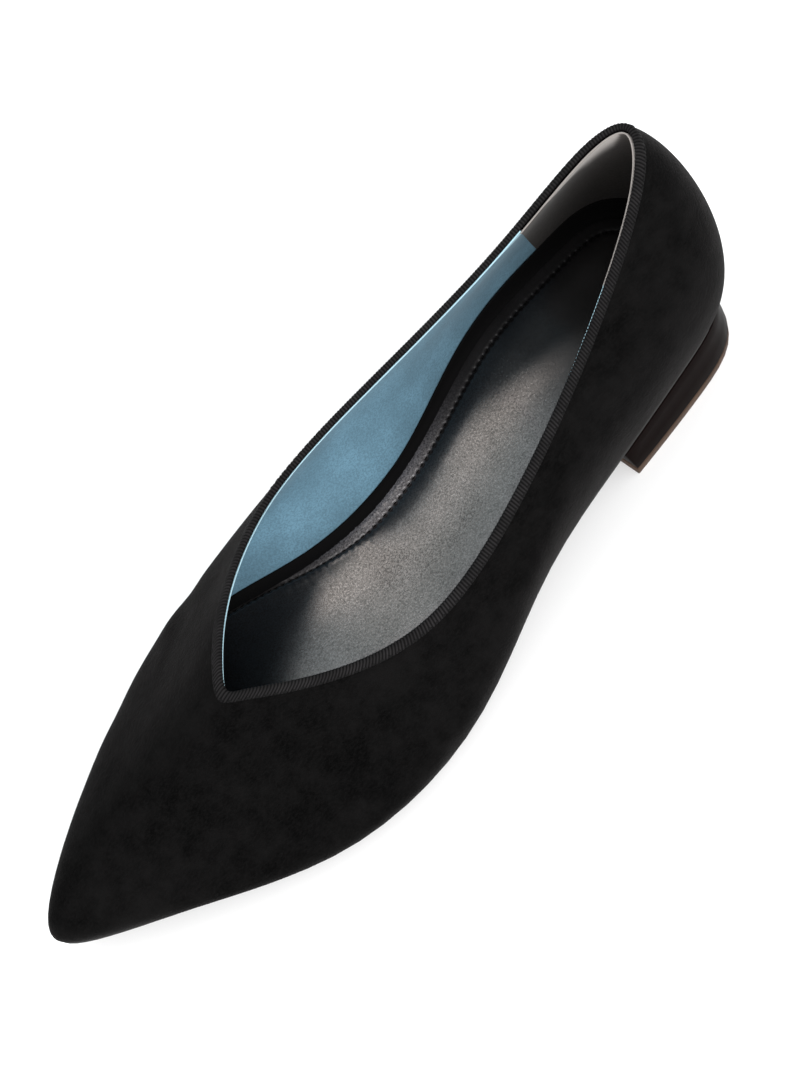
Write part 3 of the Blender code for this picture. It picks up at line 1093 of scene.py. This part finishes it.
class FlatUpper(bpy.types.Operator):
    """Make the suede upper over its solid"""

    bl_idname = "flat.upper"
    bl_label = "Suede upper"

    def execute(self, context):
        skin = Skin(np.linspace(0.0, TURN, UPPER_COLUMNS, endpoint=False))
        reach = skin.below_top([RIBBON_FOOT])
        rows = reach * np.linspace(0.0, 1.0, UPPER_ROWS)[None, :] ** UPPER_CROWDING
        inward = np.interp(rows, LOWER_ROLL["arc"], LOWER_ROLL["inward"])
        outer = skin.at(rows, -inward - crease_depth(skin, rows))
        back_rows = reach * np.linspace(1.0, 0.0, INNER_ROWS)[None, :]
        drops = skin.drops(back_rows)
        inner = skin.at(back_rows, -np.interp(drops, WALL_SKIVE["drop"], WALL_SKIVE["inward"]))
        loop = np.concatenate((outer, inner), axis=1)
        piece = laid_grid("upper_suede", wrapped(looped(loop)))
        dress(piece, SUEDE_SMOOTH, suede_finish(colours().suede), "upper", "upper")
        return {"FINISHED"}


class FlatBinding(bpy.types.Operator):
    """Make the ribbed ribbon round the topline"""

    bl_idname = "flat.binding"
    bl_label = "Topline binding"

    def execute(self, context):
        ribs = int(round(line_length(topline) * MM / sizes().rib_pitch))
        skin = Skin(even_turns(topline, ribs * RIB_SAMPLES + 1)[:-1])
        arcs = skin.below_top(RIBBON["drop"])
        rib = RIBBON["rib"][None, :]
        phase = np.arange(len(skin.turns)) * (TURN / RIB_SAMPLES)
        swell = (0.5 - 0.5 * np.cos(phase))[:, None] * rib
        core = skin.at(skin.below_top([RIBBON_FOOT / 2.0]), -RIBBON_CORE)
        face = skin.at(arcs, RIBBON["out"][None, :])
        face += unit(face - core) * (swell - 0.5 * rib)[..., None] * sizes().rib_depth / MM
        # The swell also sets the painted crest highlight and valley shade of the ribbon
        fields = {"rib": wrapped(looped(swell))}
        piece = laid_grid("binding_ribbon", wrapped(looped(face)), fields=fields)
        dress(piece, RIBBON_SMOOTH, ribbon_finish(colours().ribbon), "topline_binding", "topline_binding")
        return {"FINISHED"}


class FlatLining(bpy.types.Operator):
    """Make the linings of vamp, quarters and heel"""

    bl_idname = "flat.lining"
    bl_label = "Linings"

    def make(self, name, turns, lift, leans, edge_tone, material):
        """One lining whose ends stand at shares of the turns, from foot to top."""
        skin = Skin(turns)
        thickness = sizes().lining_thickness / MM
        share = np.linspace(0.0, 1.0, LINING_ROWS)[None, :]
        x = feather_plan(turns)[:, :1]
        width = np.interp(x, FOLD_AND_PAINTED_LIGHT["x"], FOLD_AND_PAINTED_LIGHT["width"])
        outer_top = np.interp(x, FOLD_AND_PAINTED_LIGHT["x"], FOLD_AND_PAINTED_LIGHT["outer_drop"])
        inner_top = np.interp(x, FOLD_AND_PAINTED_LIGHT["x"], FOLD_AND_PAINTED_LIGHT["inner_drop"])
        top = np.where(outer_side(turns), outer_top, inner_top)
        rows = LINING_FOOT + (skin.below_top(top) - LINING_FOOT) * share
        drops = skin.drops(rows)
        inward = np.interp(drops, LINING["drop"], LINING["inward"]) + lift
        back = skin.at(rows, -inward)
        front = skin.at(rows, -inward - thickness)
        crown = skin.at(skin.below_top(top - FOLD_CROWN), -inward[:, -1:] - thickness / 2.0)
        loop = np.concatenate((back, crown, front[:, ::-1]), axis=1)
        # Pale band along the top: the folded edge, and where it is wide at the back of the heel, a
        # painted pool of light
        fold_and_painted_light = ease(FOLD_AND_PAINTED_LIGHT_HOLD * (1.0 - (drops - top) / width))
        fold_and_painted_light[:, -1] *= edge_tone
        # Painted shade, strongest at the foot of the lining
        foot = (1.0 - share) ** PAINTED_SHADE_SPREAD * np.ones_like(drops)
        fields = {"fold_and_painted_light": looped(up_and_down(fold_and_painted_light)), "foot": looped(up_and_down(foot))}
        middle = (turns[0] + turns[-1]) / 2.0
        for row, height in enumerate(up_and_down(share)[0]):
            leaned = middle + (turns - middle) * np.interp(height, (0.0, 1.0), leans)
            for axis in range(3):
                loop[:, row, axis] = np.interp(leaned, turns, loop[:, row, axis])
        piece = laid_grid(name, looped(loop), ends_open=True, fields=fields)
        dress(piece, SOFT_SMOOTH, material, None)

    def execute(self, context):
        tint = colours()
        blue = lining_finish("blue_lining", tint.lining, tint.lining_edge, BLUE_PAINTED_SHADE_TONE)
        taupe = lining_finish("heel_lining_cloth", tint.heel_lining, tint.heel_edge_and_painted_light, HEEL_PAINTED_SHADE_TONE)
        start = float(turn_at(VAMP_LINING_X))
        turns = np.linspace(start, TURN - start, VAMP_COLUMNS)
        self.make("vamp_lining", turns, 0.0, VAMP_LINING_LEAN, BLUE_EDGE_TONE, blue)
        seam = float(turn_at(HEEL_SEAM_X))
        turns = np.linspace(-seam, seam, HEEL_COLUMNS)
        self.make("heel_lining", turns, HEEL_LINING_LIFT, HEEL_LINING_LEAN, HEEL_EDGE_TONE, taupe)
        return {"FINISHED"}


class FlatSock(bpy.types.Operator):
    """Make the padded sock with its rim, groove and heel cup"""

    bl_idname = "flat.sock"
    bl_label = "Sock"

    def ripples(self, run, x):
        """Fine wrinkles along the sock's edge, strongest at the waist."""
        total = np.zeros(len(run))
        for pitch, phase, depth in zip(*SOCK_RIPPLES.values()):
            drift = np.sin(TURN * run / (RIPPLE_DRIFT * pitch))
            total += depth * np.sin(TURN * run / pitch + phase + drift)
        return total * (RIPPLE_REST + (1.0 - RIPPLE_REST) * bell(x, *WAIST))

    def under_rows(self, turns, middle):
        """Flat under side, from the middle line out."""
        edge = sock_inset(turns, SOCK_UNDER_INSET)
        plans = [edge + (middle - edge) * share for share in (1.0, 0.5, 0.0)]
        return [np.column_stack((plan, feather_height(plan[:, 0]) + SOCK_LIFT)) for plan in plans]

    def edge_rows(self, turns):
        """Flange, stitched groove and edge of the pad, from the outside in."""
        x = feather_plan(turns)[:, 0]
        run = run_along(wrapped(groove_line(turns)))
        pitch = run[-1] / round(run[-1] * MM / sizes().sock_pitch)
        pits = PIT_DEPTH * (0.5 + 0.5 * np.cos(TURN * run[:-1] / pitch)) * (x < STITCH_FRONT)
        wrinkles = self.ripples(run[:-1], x)
        rows = []
        for inset, height, wrinkle, pit, _, cup, lip, arch in zip(*SOCK.values()):
            plan = sock_inset(turns, inset)
            z = sock_height(plan[:, 0], height, cup, lip, arch)
            rows.append(np.column_stack((plan, z + wrinkle * wrinkles - pit * pits)))
        return rows

    def pad_rows(self, edge, middle):
        """Top of the pad, from its edge to the middle line."""
        rows = []
        for share, height, lip, arch in zip(*SOCK_FILL.values()):
            plan = edge + (middle - edge) * share
            cup = SOCK["cup"][-1] * (1.0 - share) ** 2
            rows.append(np.column_stack((plan, sock_height(plan[:, 0], height, cup, lip, arch))))
        return rows

    def make_rim(self, turns, flange):
        """Strip that stands against the lining and curves down to the flange."""
        skin = Skin(turns)
        cup = sock_cup(feather_plan(turns)[:, 0])
        clear = WALL + sizes().lining_thickness / MM + HEEL_LINING_LIFT * cup + RIM_GAP
        rows = []
        for inward, rise in zip(*RIM_CREST.values()):
            arcs = skin.above_foot(RIM_FRONT + RIM_CUP * cup + rise)[:, None]
            rows.append(skin.at(arcs, -(clear + inward)[:, None])[:, 0])
        crest = rows[-1]
        for way, drop in zip(*RIM_COVE.values()):
            rows.append(crest + (flange - crest) * np.array((way, way, drop)))
        rim = laid_grid("sock_rim", wrapped(looped(np.stack(rows, axis=1))))
        dress(rim, SOFT_SMOOTH, cove_finish(colours().sock), "insole")

    def execute(self, context):
        half = even_turns(groove_line, SOCK_COLUMNS // 2 + 1, 0.0, math.pi)
        turns = np.concatenate((half, TURN - half[-2:0:-1]))
        x = feather_plan(turns)[:, :1]
        axis_turn = turn_at(np.clip(x[:, 0], *SOCK_AXIS))
        middle = (feather_plan(axis_turn) + feather_plan(TURN - axis_turn)) / 2.0
        under = self.under_rows(turns, middle)
        edge = self.edge_rows(turns)
        pad = self.pad_rows(edge[-1][:, :2], middle)
        flange = np.concatenate((np.zeros(len(under)), SOCK["flange"], np.zeros(len(pad))))[None, :]
        # The hump sets the flange's gloss and its painted highlight
        gloss_and_painted_highlight = bell(x, *FLANGE_GLOSS_AND_PAINTED_HIGHLIGHT)
        seat = 1.0 - SEAT_DULL * ramp(x, *SEAT_DULLS)
        gloss = (1.0 - (1.0 - FLANGE_GLOSS * gloss_and_painted_highlight) * flange) * seat
        # The flange field is the mask of the painted highlight
        fields = {"flange": wrapped(gloss_and_painted_highlight * flange), "gloss": wrapped(gloss)}
        piece = laid_grid("insole_sock", wrapped(np.stack(under + edge + pad, axis=1)), fields=fields)
        dress(piece, SOFT_SMOOTH, sock_finish(colours().sock), "insole", "insole")
        self.make_rim(turns[::RIM_THINNING], edge[RIM_ROW][::RIM_THINNING])
        return {"FINISHED"}


class FlatStitches(bpy.types.Operator):
    """Sew the sock's groove and the binding's edge"""

    bl_idname = "flat.stitches"
    bl_label = "Stitches"

    def execute(self, context):
        thread = thread_finish(colours().thread)
        pitch = sizes().sock_pitch
        turns = even_turns(groove_line, int(round(line_length(groove_line) * MM / pitch)) + 1)[:-1]
        turns = turns[feather_plan(turns)[:, 0] < STITCH_FRONT]
        alongs = groove_line(turns + TURN_STEP) - groove_line(turns - TURN_STEP)
        places = stitch_places(groove_line(turns), alongs, np.tile(UPRIGHT, (len(turns), 1)))
        row = scattered("sock_stitches", stitch_base(pitch, SOCK_STITCH), places)
        dress(row, SOFT_SMOOTH, thread, "insole")

        pitch = sizes().edge_pitch
        skin = Skin(even_turns(topline, int(line_length(topline) * MM / pitch) + 1)[:-1])
        arcs = skin.below_top([EDGE_STITCH_DROP])
        points = skin.at(arcs, EDGE_STITCH_OUT)[:, 0]
        alongs = np.roll(points, -1, axis=0) - np.roll(points, 1, axis=0)
        places = stitch_places(points, alongs, skin.normals_at(arcs)[:, 0])
        row = scattered("binding_stitches", stitch_base(pitch, EDGE_STITCH), places)
        dress(row, SOFT_SMOOTH, thread, "topline_binding")
        return {"FINISHED"}


class FlatBottom(bpy.types.Operator):
    """Round the edges of outsole, heel and top lift and give them their finishes"""

    bl_idname = "flat.bottom"
    bl_label = "Sole and heel"

    def execute(self, context):
        edge = sizes().sole_edge
        sole = rubber_finish("sole_rubber", colours().sole, SOLE_GRAIN)
        lift = rubber_finish("lift_rubber", colours().lift, LIFT_GRAIN)
        made = (
            ("outsole", "outsole_trimmed", edge, sole),
            ("heel", "heel_block", edge, lacquer_finish(colours().heel)),
            ("top_lift", "heel_top_lift", edge * LIFT_EDGE, lift),
        )
        for node, name, width, material in made:
            piece = copy_of(node, name)
            round_edges(piece, width)
            dress(piece, SOLE_SMOOTH, material, node, node)
        return {"FINISHED"}


# The camera keeps the photo's place over the shoe, in millimetres from the floor's origin
CAMERA_PLACE = (117.7, 260.2, 576.2)
CAMERA_TARGET = (-7.3, 2.6, 40.0)
CAMERA_UP = (-0.7256, -0.5388, 0.4281)
IMAGE_HEIGHT = 1067.0
SENSOR = 36.0
FOCAL_PIXELS = 2230.0
CLIP_START = 0.01

# Soft lights, all aimed at one point: place and size in metres, watts and tint
LIGHT_TARGET = (0.0, 0.0, 0.02)
LIGHTS = (
    ("top_softbox", (0.00, -0.85, 1.50), 1.2, 13.0, (0.86, 0.96, 1.0)),
    ("arch_softbox", (0.09, -0.45, 1.50), 0.24, 1.8, (1.0, 0.82, 0.72)),
    ("side_softbox", (0.45, 1.30, 1.00), 1.1, 30.0, (1.0, 1.0, 1.0)),
)
WORLD_COLOUR = (1.0, 1.0, 1.0, 1.0)
WORLD_STRENGTH = 0.95
FLOOR_SIZE = 4.0


def aimed(place, target, up):
    """Matrix of an object at a place whose -Z looks at the target."""
    back = (place - target).normalized()
    side = Vector(up).cross(back).normalized()
    turned = Matrix((side, back.cross(side), back)).transposed().to_4x4()
    return Matrix.Translation(place) @ turned


class FlatStage(bpy.types.Operator):
    """Set the floor, the soft lights and the camera"""

    bl_idname = "flat.stage"
    bl_label = "Stage"

    def execute(self, context):
        bpy.ops.mesh.primitive_plane_add(size=FLOOR_SIZE)
        floor = context.object
        floor.name = "floor"
        floor.data.materials.append(floor_finish(colours().floor))
        for name, place, size, watts, tint in LIGHTS:
            bpy.ops.object.light_add(type="AREA")
            lamp = context.object
            lamp.name = name
            lamp.data.size = size
            lamp.data.energy = watts
            lamp.data.color = tint
            lamp.matrix_world = aimed(Vector(place), Vector(LIGHT_TARGET), UPRIGHT)
        bpy.ops.object.camera_add()
        camera = context.object
        camera.name = "camera"
        camera.matrix_world = aimed(Vector(CAMERA_PLACE) * MM, Vector(CAMERA_TARGET) * MM, CAMERA_UP)
        camera.data.sensor_width = SENSOR
        camera.data.lens = FOCAL_PIXELS * SENSOR / IMAGE_HEIGHT
        camera.data.clip_start = CLIP_START
        context.scene.camera = camera
        world = bpy.data.worlds.new("studio")
        world.use_nodes = True
        sky = world.node_tree.nodes["Background"]
        sky.inputs["Color"].default_value = WORLD_COLOUR
        sky.inputs["Strength"].default_value = WORLD_STRENGTH
        context.scene.world = world
        context.scene.view_settings.view_transform = "Standard"
        return {"FINISHED"}


class FlatPanel(bpy.types.Panel):
    """Lists the pieces of the shoe with their sizes and colours"""

    bl_idname = "FLAT_PT_pieces"
    bl_label = "Ballet flat"
    bl_space_type = "VIEW_3D"
    bl_region_type = "UI"
    bl_category = "Ballet flat"

    def draw(self, context):
        column = self.layout.column()
        for operator in OPERATORS:
            column.operator(operator.bl_idname)
        for group in (sizes(), colours()):
            for name in group.__annotations__:
                column.prop(group, name)


OPERATORS = (FlatUpper, FlatBinding, FlatLining, FlatSock, FlatStitches, FlatBottom, FlatStage)
CLASSES = (FlatSizes, FlatColours, *OPERATORS, FlatPanel)


def register():
    for item in CLASSES:
        bpy.utils.register_class(item)
    bpy.types.Scene.flat_sizes = bpy.props.PointerProperty(type=FlatSizes)
    bpy.types.Scene.flat_colours = bpy.props.PointerProperty(type=FlatColours)


def unregister():
    del bpy.types.Scene.flat_colours
    del bpy.types.Scene.flat_sizes
    for item in reversed(CLASSES):
        bpy.utils.unregister_class(item)


def main():
    register()
    bpy.ops.flat.upper()
    bpy.ops.flat.binding()
    bpy.ops.flat.lining()
    bpy.ops.flat.sock()
    bpy.ops.flat.stitches()
    bpy.ops.flat.bottom()
    bpy.ops.flat.stage()


if __name__ == "__main__":
    main()
